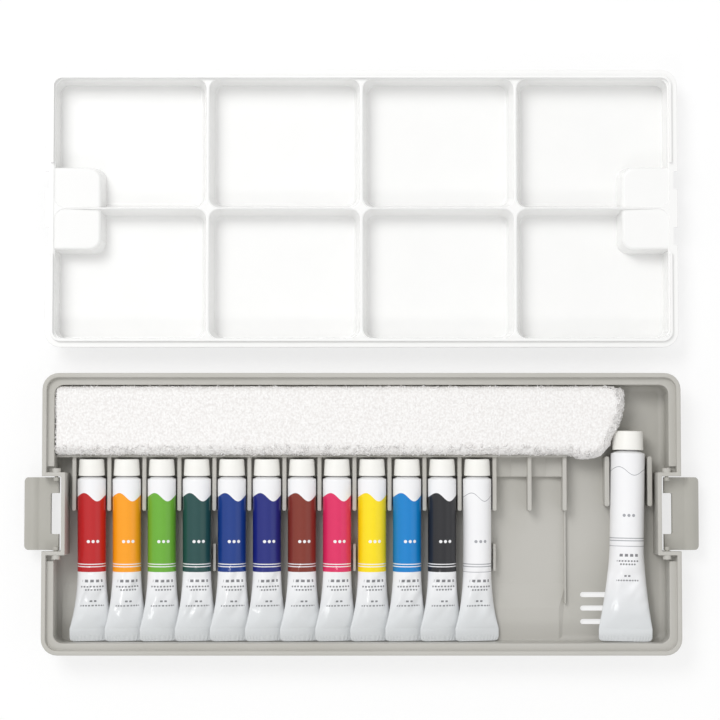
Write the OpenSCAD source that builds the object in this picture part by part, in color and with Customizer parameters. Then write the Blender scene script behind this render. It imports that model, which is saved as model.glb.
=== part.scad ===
// Gouache paint set box: a shallow tray with a moulded tube rack, twelve small tubes and one
// large tube of paint, a folded towel, two snap latches and a lid whose inside is an eight-well palette.
// Millimetres. The origin is the centre of the tray's underside, +Z up, +Y towards the open lid.

/* [Tray] */
// Length of the box over its rims
box_l = 353; // [351:1:430]
// Width of the box over its rims
box_w = 155.6; // [152:0.2:200]
// Height of the tray to the top of its lip
tray_h = 24; // [24:0.5:32]
// Radius of the rim's outer corners
corner_r = 9; // [7:0.5:14]
// Thickness of the tray's floor
floor_t = 2; // [1.2:0.1:3]
// Thickness of the tray's lower wall
wall_t = 2.2; // [1.4:0.1:3]
// Thickness of the raised lip round the rim
lip_t = 2.5; // [1.6:0.1:3.5]
// Width of the ledge inside the lip
ledge_w = 4; // [3:0.1:6]
// Height of the lip above the ledge
lip_h = 3; // [2.5:0.1:4]
// Height of the rim band, from its lower edge to the top of the lip
band_h = 7; // [5:0.5:9]

/* [Latches] */
// Width of a latch across both arms
latch_w = 40.3; // [30:0.1:44]
// Thickness of a latch's plate and of its ears
latch_t = 2; // [1.6:0.1:2.6]
// Height of a closed latch above its pivot
latch_reach = 20.6; // [19:0.1:25]
// Angle that a latch hangs down from its closed place
latch_open = 100; // [90:1:104]
// Radius of a latch's pivot pin
pin_r = 1; // [0.8:0.1:1.2]
// Radius of the ear round the pin
ear_r = 1.5; // [1.3:0.1:1.8]
// Gap between a latch's ears and the back of its pocket
pocket_room = 1.5; // [1:0.1:4]
// Thickness of the wall round the pocket
pocket_wall = 2.2; // [1.8:0.1:3.2]
// Height of the pivot below the top of the lip
pivot_drop = 2.6; // [2.5:0.1:3.5]
// Distance of the pivot from the tray's end
pivot_in = 7.8; // [6.5:0.1:8.4]
// Radius of the boss behind a pivot hole
boss_r = 2.4; // [1.8:0.1:2.6]
// Length of the boss behind a pivot hole
boss_l = 2.2; // [1.5:0.1:3]
// Height of an ear where it meets the plate
ear_high = 2.4; // [1:0.1:2.5]
// Radius of the corners of a latch's finger edge
latch_corner_r = 2.5; // [1:0.1:4]
// Length of the pits that end the ledge beside a pocket
ledge_stop = 3.3; // [2:0.1:6]
// Depth of those pits
ledge_pit = 2.5; // [1:0.1:3]

/* [Palette lid] */
// Height of the lid from its back to the face that meets the tray
lid_h = 18; // [15:0.5:22]
// Thickness of the lid's wall
lid_wall = 2.2; // [1.6:0.1:3]
// Thickness of the wells' floor
lid_floor = 1.8; // [1.4:0.1:2.6]
// Thickness of the flange that the latches hold
flange_t = 2; // [1.8:0.1:2.6]
// Height of the raised lip that drops inside the tray's lip
seal_h = 2; // [1.2:0.1:2.2]
// Thickness of the walls between the wells at their top
divider_t = 1.6; // [1.2:0.1:3]
// Thickness of the walls between the wells at the floor
divider_base = 7; // [4:0.1:9]
// Drop from the lid's face to the top of the walls between the wells
divider_drop = 0.5; // [0.5:0.1:4]
// Wells along the lid
wells_x = 4; // [3:1:6]
// Depth of the finger recess in each end
recess_d = 28.5; // [18:0.5:34]
// Wall round the finger recess
recess_wall = 2.2; // [1.4:0.1:2.6]
// Width of the tongue that a latch hooks over
tongue_w = 21.2; // [12:0.1:24]
// Distance between the tray and the lid as they lie side by side
lid_apart = 14.5; // [8:0.1:40]
// Drop from the lid's face to the top of the recess block
block_drop = 1.4; // [0.8:0.1:3]
// Thickness of the recess block's top
block_t = 1.8; // [1.4:0.1:3]

/* [Tube rack] */
// Room in a bay beside its tube, both sides together
bay_room = 1.3; // [0.8:0.1:3]
// Small tubes in the set
tube_count = 12; // [12:1:12]
// Empty bays beside them
spare_bays = 2; // [0:1:2]
// Distance from the left inner wall to the first rib
rack_inset = 10.1; // [9:0.1:16]
// Thickness of a rib
rib_t = 2.4; // [1.6:0.1:2.6]
// Height of the ribs above the floor
rib_h = 11; // [8:0.5:14]
// Length of a rib in front of the back wall of the rack
rib_l = 29.8; // [20:0.1:36]
// Thickness of the back wall of the rack
comb_t = 1.6; // [1.2:0.1:2.4]
// Height of the back wall above the floor
comb_h = 13; // [10:0.5:15]
// Gap between the caps and the back wall of the rack
comb_gap = 0.5; // [0.5:0.1:3]
// Gap between a tube's shoulder and the front of the V-shaped rest under its cap
rest_room = 0.45; // [0.3:0.05:3]
// Height of the rest at its middle
rest_h = 3; // [2:0.1:4]
// Rise of the rest from its middle to the ribs
rest_rise = 2; // [0:0.1:3]
// Thickness of the short posts between the tails
post_t = 1.7; // [1.2:0.1:1.8]
// Height of the short posts
post_h = 7; // [4:0.5:9]
// Length of the short posts
post_l = 15.4; // [8:0.1:16]
// Distance that a short post runs on past the round part of the tubes
post_past = 5.9; // [0:0.1:6]
// Height of the raised floor under the tails
plateau_h = 1.2; // [0.2:0.1:1.2]
// Distance from the front inner wall to the top of the floor's ramp
plateau_d = 18.6; // [10:0.1:24]
// Length of the ramp
ramp_l = 13.9; // [5:0.1:16]
// Thickness of the fin beside the last bay
fin_t = 0.9; // [0.6:0.1:1.4]
// Height of the fin
fin_h = 3; // [2:0.1:5]
// Length of the fin in front of the ribs
fin_l = 52; // [30:0.5:54]
// Thickness of the two posts at the large tube
stall_t = 2.8; // [2:0.1:3.5]
// Length of these posts
stall_l = 28; // [20:0.5:30]
// Gap between these posts and the large tube, each side
stall_gap = 1; // [0.8:0.05:1.5]
// Distance that these posts reach past the back wall of the rack
stall_past = 0.6; // [0:0.1:3]
// Distance from the right inner wall to the large tube's axis
stall_inset = 21.4; // [19:0.1:30]

/* [Tubes] */
// Radius of a small tube
tube_r = 7.9; // [6.4:0.1:7.9]
// Length of a small tube from its shoulder to its crimp
tube_l = 90.4; // [74:0.1:109]
// Length of a small tube that stays round, from its shoulder
round_l = 45.7; // [36:0.1:47]
// Radius of a small tube's neck
neck_r = 4.2; // [3:0.1:4.5]
// Radius of the hole in its nozzle
nozzle_r = 2.2; // [1:0.1:3]
// Radius of the large tube
big_r = 9.5; // [8.5:0.1:9.9]
// Length of the large tube from its shoulder to its crimp
big_l = 104.4; // [80:0.1:105]
// Length of the large tube that stays round
big_round_l = 52.2; // [40:0.1:60]
// Radius of the large tube's neck
big_neck_r = 5; // [4:0.1:6]
// Radius of the hole in its nozzle
big_nozzle_r = 2.7; // [1:0.1:4]
// Wall of a tube
tube_wall = 0.35; // [0.3:0.05:0.5]
// Roll of a small tube that lifts its left edge over its neighbour
tube_roll = 12; // [11:0.5:16]
// Length of the folded crimp
crimp_l = 7; // [5:0.5:9]
// Thickness of the folded crimp
crimp_t = 1.5; // [1:0.1:2]
// Height of a small cap
cap_h = 9.2; // [7:0.1:10]
// Height of the large cap
big_cap_h = 10.6; // [8:0.1:11]
// Height of a tube's sloped shoulder
shoulder_h = 1.4; // [0.5:0.1:1.6]
// Gap between a cap and the foot of its tube's shoulder
cap_gap = 1.7; // [1.6:0.1:2]
// How much smaller a cap's radius is at its tip
cap_taper = 0.5; // [0:0.05:1]
// Lean of the large tube in its stall
big_yaw = 1; // [0:0.1:1]
// How much narrower a small cap's radius is than its tube's
cap_under = 0.6; // [-0.3:0.05:0.8]
// Radius of the large cap
big_cap_r = 8.7; // [7:0.05:9]
// Thickness of a cap's rim
skirt_t = 1.6; // [1:0.1:2]
// Height of the recess inside a cap's rim
skirt_h = 1.8; // [1:0.1:3]
// Thickness of a cap's top
cap_top_t = 1.4; // [1:0.1:2]

/* [Towel] */
// Thickness of the folded towel
towel_h = 19.2; // [10:0.1:19.4]
// Distance from the left inner wall to the towel
towel_inset = 0.5; // [0.4:0.1:10]
// Length of the folded towel
towel_l = 315.5; // [200:0.1:318]
// Radius of the towel's bend beside the large tube's cap
bend_r = 14.5; // [10:0.1:16]
// Radius of the towel's far corner
fold_r = 11; // [6:0.1:16]

/* [Vents] */
// Width of a slot in the floor
vent_w = 2.9; // [2:0.1:4]
// Length of a slot
vent_l = 38; // [20:0.5:44]
// Distance from one slot to the next
vent_pitch = 7.5; // [5:0.1:8]
// Number of slots
vent_count = 3; // [1:1:4]
// Distance from the large tube's axis to the slots' left end
vent_left = 26.2; // [20:0.1:30]
// Distance from the front inner wall to the first slot
vent_front = 10.8; // [6:0.1:20]

/* [Fits] */
// Gap between the lid's face and the tray's lip
seat_gap = 0.2; // [0.1:0.05:0.5]
// Gap between the raised lip and the tray's lip
seal_gap = 0.7; // [0.5:0.05:1.2]
// Gap between a pin and its hole
pin_gap = 0.08; // [0.05:0.01:0.2]
// Gap beside a latch in its pocket
latch_gap = 0.55; // [0.3:0.05:1]
// Gap beside the lid's tongue in a latch's opening
hook_gap = 0.75; // [0.4:0.05:1.5]
// Gap between a cap's bore and the neck in it
thread_gap = 0.3; // [0.2:0.05:0.5]
// Gap between loose pieces and what they lie on
lie_gap = 0.3; // [0.2:0.05:0.5]
// Gap between the tubes' tails and the front wall
tail_gap = 0.5; // [0.3:0.1:2]
// Gap between the paint and the wall of its tube
paint_gap = 0.15; // [0.1:0.01:0.3]

/* [Hidden] */
COLOURS = ["red", "orange", "light_green", "dark_green", "ultramarine", "violet",
           "brown", "magenta", "yellow", "cyan", "black", "white"];
SHADES = [[0.75, 0.1, 0.11], [0.98, 0.63, 0.08], [0.39, 0.67, 0.2], [0.12, 0.28, 0.28],
          [0.06, 0.2, 0.51], [0.1, 0.14, 0.47], [0.49, 0.18, 0.12], [0.86, 0.16, 0.37],
          [0.98, 0.86, 0], [0, 0.49, 0.78], [0.14, 0.14, 0.15], [0.95, 0.95, 0.96]];
LARGE = "large_white";

$fn = 64;
eps = 0.01;
over = 1;
grey = [0.73, 0.72, 0.69];
sides = [0, 1];

// Tray, worked out from its outside
half_l = box_l / 2;
half_w = box_w / 2;
rim_w = lip_t + ledge_w;
inner_x = half_l - rim_w;
inner_y = half_w - rim_w;
inner_r = max(1, corner_r - rim_w);
ledge_z = tray_h - lip_h;
band_z = tray_h - band_h;

// Latch pocket and pivot
pocket_half = latch_w / 2 + latch_gap;
pocket_out = pocket_half + pocket_wall;
pivot_x = half_l - pivot_in;
pocket_x = pivot_x - ear_r - pocket_room;
pivot_z = tray_h - pivot_drop;
blind = 0.4;
pin_l = latch_gap + pocket_wall + boss_l - blind - lie_gap;

// Lid, and its face when it is closed on the tray
face_z = tray_h + seat_gap;
lid_y = box_w + lid_apart;
lid_body_x = half_l - lip_t;
lid_body_y = half_w - lip_t;
lid_body_r = corner_r - lip_t;
seal_inset = lip_t + seal_gap;
well_x = lid_body_x - lid_wall;
well_y = lid_body_y - lid_wall;
well_r = max(1, lid_body_r - lid_wall);
recess_top = lid_h - block_drop - block_t;
divider_top = lid_h - divider_drop;

// Latch plate, measured out and up from the pivot as it is when closed
plate_out = pivot_in;
plate_in = plate_out - latch_t;
arm_low = 0.4;
latch_gap_w = tongue_w + 2 * hook_gap;
hook_v = face_z + flange_t + seat_gap - pivot_z;

// Bays of the rack
bay_pitch = 2 * tube_r + rib_t + bay_room;
bay_half = (bay_pitch - rib_t) / 2;
bays = tube_count + spare_bays;
rack_x0 = -inner_x + rack_inset;
rack_x1 = rack_x0 + bays * bay_pitch + rib_t / 2;
rest_angle = atan(rest_rise / bay_half);
post_every = 4;

// The hollow of a tube ends before its folded crimp, and the paint ends a little sooner
hollow_share = 0.97;
paint_share = 0.9;
fold_side = 0.15;
fold_flat = 0.2;

// A small tube lies with its cap in the V-shaped rest, and with its round part on the floor or its tail on the ramp
cap_r = tube_r - cap_under;
cap_run = tube_l + cap_gap;
flat_half = PI * tube_r / 2;
round_run = tube_l - round_l;
cap_base_z = floor_t + rest_h + (cap_r + lie_gap) / cos(rest_angle);
round_end_z = floor_t + lie_gap + tube_r;
tail_low_z = floor_t + plateau_h + lie_gap + flat_half * sin(tube_roll) + crimp_t / 2 * cos(tube_roll);
tube_pitch = min(asin((cap_base_z - round_end_z) / (cap_run - round_run)), asin((cap_base_z - tail_low_z) / cap_run));
tail_y = -inner_y + tail_gap;
tail_z = cap_base_z - cap_run * sin(tube_pitch);
round_end_y = tail_y + round_run * cos(tube_pitch);

// Back wall of the rack stands behind the caps
comb_y = tail_y + (cap_run + cap_h) * cos(tube_pitch) + cap_r * sin(tube_pitch) + comb_gap;
rib_front = comb_y - rib_l;
rest_front = tail_y + tube_l * cos(tube_pitch) + tube_r * sin(tube_pitch) + rest_room;

// The large tube lies on the floor and leans on the front end of its stall's left post
stall_x = inner_x - stall_inset;
stall_y = comb_y + stall_past - stall_l;
big_x = stall_x - stall_gap + lie_gap + stall_l * sin(big_yaw);
big_tail_x = big_x - big_l * sin(big_yaw);
big_z = floor_t + lie_gap + big_r;

// Towel lies behind the rack
towel_y0 = comb_y + comb_t + lie_gap;
towel_y1 = inner_y - lie_gap;
towel_x0 = -inner_x + towel_inset;
towel_x1 = towel_x0 + towel_l;
edge_r = 3;
bend_x = min(big_x - big_cap_r - 2 * lie_gap, towel_x1) - bend_r;

function bay_x(n) = rack_x0 + bay_pitch * (n + 0.5);
function rib_x(i) = rack_x0 + bay_pitch * i;

module both_ends() {
    for (s = sides) mirror([s, 0, 0]) children();
}

module both_sides() {
    for (s = sides) mirror([0, s, 0]) children();
}

module rounded_plan(x, y, r) {
    for (sx = [-1, 1], sy = [-1, 1]) translate([sx * (x - r), sy * (y - r)]) circle(r);
    square([2 * x, 2 * (y - r)], center = true);
    square([2 * (x - r), 2 * y], center = true);
}

module slab(x, y, r, z0, z1) {
    translate([0, 0, z0]) linear_extrude(z1 - z0) rounded_plan(x, y, r);
}

module block(x0, x1, y0, y1, z0, z1) {
    translate([x0, y0, z0]) cube([x1 - x0, y1 - y0, z1 - z0]);
}

// Sweeps an outline of (y, z) points along X
module along_x(x0, x1) {
    translate([x0, 0, 0]) rotate([90, 0, 90]) linear_extrude(x1 - x0) children();
}

// Sweeps an outline of (x, z) points along Y
module along_y(y0, y1) {
    translate([0, y1, 0]) rotate([90, 0, 0]) linear_extrude(y1 - y0) children();
}

// Tray

module tray_walls() {
    slab(inner_x + wall_t, inner_y + wall_t, inner_r + wall_t, 0, ledge_z);
    slab(half_l, half_w, corner_r, band_z, tray_h);
}

module tray_hollow() {
    slab(inner_x, inner_y, inner_r, floor_t, tray_h + over);
    slab(half_l - lip_t, half_w - lip_t, corner_r - lip_t, ledge_z, tray_h + over);
}

module pocket_walls() {
    block(pocket_x - pocket_wall, half_l, -pocket_out, pocket_out, band_z, tray_h);
    block(pocket_x - pocket_wall, inner_x + wall_t, -pocket_out, pocket_out, 0, tray_h);
    both_sides() along_y(pocket_out - eps, pocket_out + boss_l) translate([pivot_x, pivot_z]) circle(boss_r);
}

module pocket_cut() {
    block(pocket_x, half_l + over, -pocket_half, pocket_half, -over, tray_h + over);
    both_sides() translate([pivot_x, 0, pivot_z]) rotate([-90, 0, 0])
        cylinder(r = pin_r + pin_gap, h = pocket_out + boss_l - blind);
}

module ledge_pits() {
    both_sides() block(inner_x - eps, half_l - lip_t, pocket_out, pocket_out + ledge_stop,
                       ledge_z - ledge_pit, ledge_z + eps);
}

module vent() {
    translate([vent_w / 2, 0]) circle(vent_w / 2);
    translate([vent_l - vent_w / 2, 0]) circle(vent_w / 2);
    translate([vent_w / 2, -vent_w / 2]) square([vent_l - vent_w, vent_w]);
}

module vents() {
    for (i = [0:vent_count - 1]) translate([stall_x - vent_left, -inner_y + vent_front + i * vent_pitch, -over])
        linear_extrude(floor_t + 2 * over) vent();
}

module tray_shell() {
    color(grey) difference() {
        union() {
            difference() {
                tray_walls();
                tray_hollow();
                both_ends() ledge_pits();
            }
            both_ends() pocket_walls();
        }
        both_ends() pocket_cut();
        vents();
    }
}

// Rack, moulded in one with the tray's floor

module rib(i) {
    block(rib_x(i) - rib_t / 2, rib_x(i) + rib_t / 2, rib_front, comb_y + eps, 0, rib_h);
}

module cap_rest(n) {
    crest = rest_h + rest_rise;
    along_y(rest_front, comb_y + eps) translate([bay_x(n), 0])
        polygon([[-bay_half - eps, 0], [bay_half + eps, 0], [bay_half + eps, crest],
                 [0, rest_h], [-bay_half - eps, crest]]);
}

module round_post(x, y, l, t, h) {
    translate([x, y, 0]) linear_extrude(h) {
        translate([0, t / 2]) circle(t / 2);
        translate([0, l - t / 2]) circle(t / 2);
        translate([-t / 2, t / 2]) square([t, l - t]);
    }
}

module ramp() {
    top_y = -inner_y + plateau_d;
    along_x(-inner_x + inner_r, rack_x1)
        polygon([[-inner_y, 0], [top_y + ramp_l, 0], [top_y, plateau_h], [-inner_y, plateau_h]]);
}

module tube_rack() {
    color(grey) translate([0, 0, floor_t]) {
        block(-inner_x, rack_x1, comb_y, comb_y + comb_t, 0, comb_h);
        for (i = [0:bays]) rib(i);
        for (n = [0:bays - 1]) cap_rest(n);
        for (i = [post_every:post_every:bays - 1])
            round_post(rib_x(i), round_end_y - post_past, post_l, post_t, post_h);
        for (s = [-1, 1])
            round_post(stall_x + s * (big_r + stall_gap + stall_t / 2), stall_y, stall_l, stall_t, rib_h);
        block(rack_x1 - fin_t, rack_x1, rib_front - fin_l, rib_front + eps, 0, fin_h);
        ramp();
    }
}

// Lid, drawn with its back at the bottom and its centre at the origin

module lid_outside() {
    slab(lid_body_x, lid_body_y, lid_body_r, 0, lid_h);
    slab(half_l, half_w, corner_r, lid_h - flange_t, lid_h);
    difference() {
        slab(half_l - seal_inset, half_w - seal_inset, corner_r - seal_inset, lid_h - eps, lid_h + seal_h);
        both_ends() block(well_x - over, half_l, -pocket_out - seal_gap, pocket_out + seal_gap,
                          lid_h, lid_h + seal_h + over);
    }
}

module divider_outline() {
    polygon([[-divider_base / 2, lid_floor - eps], [divider_base / 2, lid_floor - eps],
             [divider_t / 2, divider_top], [-divider_t / 2, divider_top]]);
}

module lid_dividers() {
    for (i = [1:wells_x - 1]) translate([well_x * (2 * i / wells_x - 1), 0, 0])
        along_y(-well_y - eps, well_y + eps) divider_outline();
    along_x(-well_x - eps, well_x + eps) divider_outline();
}

module recess_block() {
    block(half_l - recess_d - recess_wall, well_x + eps, -pocket_half - recess_wall, pocket_half + recess_wall,
          0, recess_top + block_t);
}

module recess_cut() {
    block(half_l - recess_d, half_l + over, -pocket_half, pocket_half, -over, recess_top);
    both_sides() block(half_l - lip_t, half_l + over, tongue_w / 2, pocket_half, recess_top - over, lid_h + over);
}

module palette_lid() {
    color("white") translate([0, lid_y, 0]) difference() {
        union() {
            difference() {
                lid_outside();
                slab(well_x, well_y, well_r, lid_floor, lid_h + seal_h + over);
            }
            lid_dividers();
            both_ends() recess_block();
        }
        both_ends() recess_cut();
    }
}

// Latch, drawn closed at its pivot and then let down

module ear_outline() {
    circle(ear_r);
    polygon([[0, -ear_r], [plate_out, arm_low], [plate_out, ear_high], [0, ear_r]]);
}

module plate_outline() {
    square_top = latch_reach - latch_corner_r;
    difference() {
        union() {
            translate([-latch_w / 2, arm_low]) square([latch_w, square_top - arm_low]);
            translate([-latch_w / 2 + latch_corner_r, arm_low])
                square([latch_w - 2 * latch_corner_r, latch_reach - arm_low]);
            for (s = [-1, 1]) translate([s * (latch_w / 2 - latch_corner_r), square_top]) circle(latch_corner_r);
        }
        translate([-latch_gap_w / 2, arm_low - over]) square([latch_gap_w, hook_v - arm_low + over]);
    }
}

module latch_closed() {
    along_x(plate_in, plate_out) plate_outline();
    both_sides() along_y(latch_w / 2 - latch_t, latch_w / 2) ear_outline();
    both_sides() along_y(latch_w / 2 - eps, latch_w / 2 + pin_l) circle(pin_r);
}

module latch() {
    color(grey) translate([pivot_x, 0, pivot_z]) rotate([0, latch_open, 0]) latch_closed();
}

// Tubes, drawn along +Z from the crimp to the cap, flat across X

module taper(r, a, b, l) {
    translate([0, 0, l]) mirror([0, 0, 1]) linear_extrude(l, scale = [a / r, b / r], slices = 1) circle(r, $fn = 36);
}

module tube_outside(r, l, round, neck, neck_l) {
    flat = PI * r / 2;
    run = l - round;
    translate([-flat, -crimp_t / 2, 0]) cube([2 * flat, crimp_t, crimp_l]);
    translate([0, 0, crimp_l - eps]) taper(r, flat, crimp_t / 2, run - crimp_l + eps);
    translate([0, 0, run]) cylinder(r = r, h = round);
    translate([0, 0, l - eps]) cylinder(r1 = r, r2 = neck, h = shoulder_h + eps);
    translate([0, 0, l]) cylinder(r = neck, h = neck_l);
}

// The hollow of a tube, inset from its outside, over a share of its flattened length
module tube_inside(r, l, round, inset, share) {
    run = (l - round - crimp_l) * share;
    inner = r - inset;
    edge = inset + fold_side;
    thinnest = crimp_t / 2 - inset - fold_flat;
    wide = inner + (PI * r / 2 - edge - inner) * share;
    thin = inner - (inner - thinnest) * share;
    translate([0, 0, l - round - run]) taper(inner, wide, thin, run);
    translate([0, 0, l - round - eps]) cylinder(r = inner, h = round - inset + eps);
}

module tube_body(r, l, round, neck, nozzle, h) {
    neck_l = cap_gap + h - cap_top_t - thread_gap;
    difference() {
        tube_outside(r, l, round, neck, neck_l);
        tube_inside(r, l, round, tube_wall, hollow_share);
        translate([0, 0, l - over]) cylinder(r = nozzle, h = neck_l + 2 * over);
    }
}

module paint_body(r, l, round) {
    tube_inside(r, l, round, tube_wall + paint_gap, paint_share);
}

module cap_body(r, h, neck) {
    difference() {
        cylinder(r1 = r, r2 = r - cap_taper, h = h);
        translate([0, 0, -over]) cylinder(r = r - skirt_t, h = skirt_h + over);
        translate([0, 0, -over]) cylinder(r = neck + thread_gap, h = h - cap_top_t + over);
    }
}

module lay_small(n) {
    translate([bay_x(n), tail_y, tail_z]) rotate([tube_pitch - 90, 0, 0]) rotate([0, 0, tube_roll]) children();
}

module lay_large() {
    translate([big_tail_x, tail_y, big_z]) rotate([0, 0, -big_yaw]) rotate([-90, 0, 0]) children();
}

module small_tube(n) {
    color("silver") lay_small(n) tube_body(tube_r, tube_l, round_l, neck_r, nozzle_r, cap_h);
}

module small_cap(n) {
    color("white") lay_small(n) translate([0, 0, cap_run]) cap_body(cap_r, cap_h, neck_r);
}

module small_paint(n) {
    color(SHADES[n]) lay_small(n) paint_body(tube_r, tube_l, round_l);
}

module large_tube() {
    color("white") lay_large() tube_body(big_r, big_l, big_round_l, big_neck_r, big_nozzle_r, big_cap_h);
}

module large_cap() {
    color("white") lay_large() translate([0, 0, big_l + cap_gap]) cap_body(big_cap_r, big_cap_h, big_neck_r);
}

module large_paint() {
    color("white") lay_large() paint_body(big_r, big_l, big_round_l);
}

// Towel, rounded at its right end where it bends round the large tube's cap

module towel() {
    color("white") translate([0, 0, floor_t + lie_gap]) linear_extrude(towel_h) hull() {
        translate([towel_x0 + edge_r, towel_y0 + edge_r]) circle(edge_r, $fn = 16);
        translate([towel_x0 + edge_r, towel_y1 - edge_r]) circle(edge_r, $fn = 16);
        translate([bend_x, towel_y0 + bend_r]) circle(bend_r, $fn = 40);
        translate([towel_x1 - fold_r, towel_y1 - fold_r]) circle(fold_r, $fn = 40);
    }
}

tray_shell();
tube_rack();
palette_lid();
latch();  // latch_right
mirror([1, 0, 0]) latch();  // latch_left
towel();
for (n = [0:tube_count - 1]) {
    small_tube(n);
    small_cap(n);
    small_paint(n);
}
large_tube();
large_cap();
large_paint();
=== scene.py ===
# %% [markdown]
# # A gouache paint box
# The box lies open on a table. The grey tray in front holds twelve small tubes in a moulded rack, one
# large tube and a folded terry towel. Behind it lies the white lid, whose inside is a palette of eight
# wells. The CAD frame gives every place, and this lesson makes the surfaces that a camera sees.

# %% Load the frame
import math
import random

import bmesh
import bpy
from mathutils import Matrix, Vector, noise


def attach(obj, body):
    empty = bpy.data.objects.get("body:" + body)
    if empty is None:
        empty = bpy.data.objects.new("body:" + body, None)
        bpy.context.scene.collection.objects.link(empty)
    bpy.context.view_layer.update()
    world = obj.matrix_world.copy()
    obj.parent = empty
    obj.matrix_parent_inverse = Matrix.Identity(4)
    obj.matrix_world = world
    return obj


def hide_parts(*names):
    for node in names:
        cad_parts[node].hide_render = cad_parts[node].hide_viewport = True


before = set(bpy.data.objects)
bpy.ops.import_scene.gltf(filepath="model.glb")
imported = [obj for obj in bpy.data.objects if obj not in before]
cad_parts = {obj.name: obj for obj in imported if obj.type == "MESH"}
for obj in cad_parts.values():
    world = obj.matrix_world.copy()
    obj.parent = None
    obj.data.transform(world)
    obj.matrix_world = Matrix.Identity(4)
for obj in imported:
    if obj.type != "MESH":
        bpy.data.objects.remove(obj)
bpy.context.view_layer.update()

# %% [markdown]
# The picture was taken from almost straight above, with a long lens more than a metre away. A camera that
# leans three degrees towards the front gives the same small shifts between floors and rims. Each piece
# below is drawn in millimetres and shrunk to metres at the end, because round numbers are easier to read.

# %% Camera
MM = 0.001
aim = Vector((-0.83, 85.14, 20.0)) * MM
eye = Vector((-0.83, 19.72, 1268.3)) * MM
lens = bpy.data.cameras.new("overhead")
lens.sensor_width = 36.0
lens.lens = 112.6
lens.clip_start = 0.05
overhead = bpy.data.objects.new("overhead", lens)
bpy.context.scene.collection.objects.link(overhead)
overhead.location = eye
overhead.rotation_euler = (aim - eye).to_track_quat("-Z", "Y").to_euler()
bpy.context.scene.camera = overhead
bpy.context.scene.view_settings.view_transform = "Standard"
print("camera", round((aim - eye).length, 3), "m away")

# %% [markdown]
# Shader maths reads best as plain sums. A Wire stands for a socket, so that 1 - mask adds its Math node by
# itself. A Finish is a material with its Principled shader ready, and one method adds any other node.


# %% Wires and finishes
def linear(red, green, blue):
    """A colour as a paint chart gives it, 0 to 255, turned to the light values that a shader takes."""
    values = []
    for part in (red, green, blue):
        part = part / 255
        values.append(part / 12.92 if part <= 0.04045 else ((part + 0.055) / 1.055) ** 2.4)
    return (*values, 1.0)


class Wire:
    """An output socket that takes part in Python sums."""

    def __init__(self, finish, socket):
        self.finish = finish
        self.socket = socket

    def maths(self, operation, first, second=0.0):
        return self.finish.node("ShaderNodeMath", {"operation": operation}, {0: first, 1: second})

    def __add__(self, other):
        return self.maths("ADD", self, other)

    def __radd__(self, other):
        return self.maths("ADD", other, self)

    def __sub__(self, other):
        return self.maths("SUBTRACT", self, other)

    def __rsub__(self, other):
        return self.maths("SUBTRACT", other, self)

    def __mul__(self, other):
        return self.maths("MULTIPLY", self, other)

    def __rmul__(self, other):
        return self.maths("MULTIPLY", other, self)

    def __pow__(self, other):
        return self.maths("POWER", self, other)

    def __abs__(self):
        return self.maths("ABSOLUTE", self)

    def most(self, other):
        return self.maths("MAXIMUM", self, other)

    def sine(self):
        return self.maths("SINE", self)

    def rise(self, low, high):
        """0 below low, 1 above high, and a smooth rise between."""
        settings = {"interpolation_type": "SMOOTHSTEP"}
        sockets = {"Value": self, "From Min": low, "From Max": high}
        return self.finish.node("ShaderNodeMapRange", settings, sockets, "Result")

    def near(self, middle, half, soft):
        """1 within half of the middle, and 0 outside it."""
        return 1 - abs(self - middle).rise(half - soft, half + soft)


class Finish:
    """A material that is built node by node."""

    def __init__(self, name, colour, roughness, **fixed):
        self.material = bpy.data.materials.new(name)
        self.material.use_nodes = True
        self.tree = self.material.node_tree
        self.shader = self.tree.nodes["Principled BSDF"]
        self.put(Base_Color=colour, Roughness=roughness, **fixed)

    def feed(self, socket, value):
        if isinstance(value, Wire):
            self.tree.links.new(value.socket, socket)
        else:
            socket.default_value = value

    def find(self, sockets, key):
        if isinstance(key, int):
            return sockets[key]
        return next(socket for socket in sockets if key in (socket.identifier, socket.name))

    def node(self, kind, settings, sockets, output=0):
        node = self.tree.nodes.new(kind)
        for key, value in settings.items():
            setattr(node, key, value)
        for key, value in sockets.items():
            self.feed(self.find(node.inputs, key), value)
        return Wire(self, self.find(node.outputs, output))

    def put(self, **sockets):
        for key, value in sockets.items():
            self.feed(self.shader.inputs[key.replace("_", " ")], value)

    def grain(self, scale, detail=2.0, stretch=(1.0, 1.0, 1.0)):
        """Noise from 0 to 1 with this many grains to a metre."""
        spot = self.node("ShaderNodeTexCoord", {}, {}, "Object")
        spot = self.node("ShaderNodeMapping", {}, {"Vector": spot, "Scale": stretch})
        return self.node("ShaderNodeTexNoise", {}, {"Vector": spot, "Scale": scale, "Detail": detail}, "Fac")

    def mix(self, share, first, second):
        sockets = {"Factor_Float": share, "A_Color": first, "B_Color": second}
        return self.node("ShaderNodeMix", {"data_type": "RGBA"}, sockets, "Result_Color")

    def bump(self, height, distance):
        """Height from 0 to 1 times a distance in millimetres."""
        sockets = {"Height": height, "Distance": distance * MM}
        self.put(Normal=self.node("ShaderNodeBump", {}, sockets, "Normal"))


print("white is", [round(part, 3) for part in linear(248, 248, 246)])

# %% [markdown]
# The tray, the rack and the latches are moulded in one warm grey plastic with a fine satin grain. Its tone
# wanders a little in broad clouds, and a grain finer than a millimetre breaks up the highlights. The latches
# get a darker copy of it: painted shade on the hanging plates.

# %% Finishes of the plastics
GRAINS = 1500.0
tray_plastic = Finish("tray_plastic", linear(196, 193, 185), 0.4)
cloud = tray_plastic.grain(14.0, 3.0).rise(0.3, 0.7)
sand = tray_plastic.grain(GRAINS)
tray_plastic.put(Base_Color=tray_plastic.mix(cloud, linear(187, 185, 178), linear(193, 191, 185)))
tray_plastic.put(Roughness=0.34 + 0.16 * sand)
tray_plastic.bump(sand, 0.03)

# The latches' plastic is the tray's, made darker: painted shade on the hanging plates.
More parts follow.
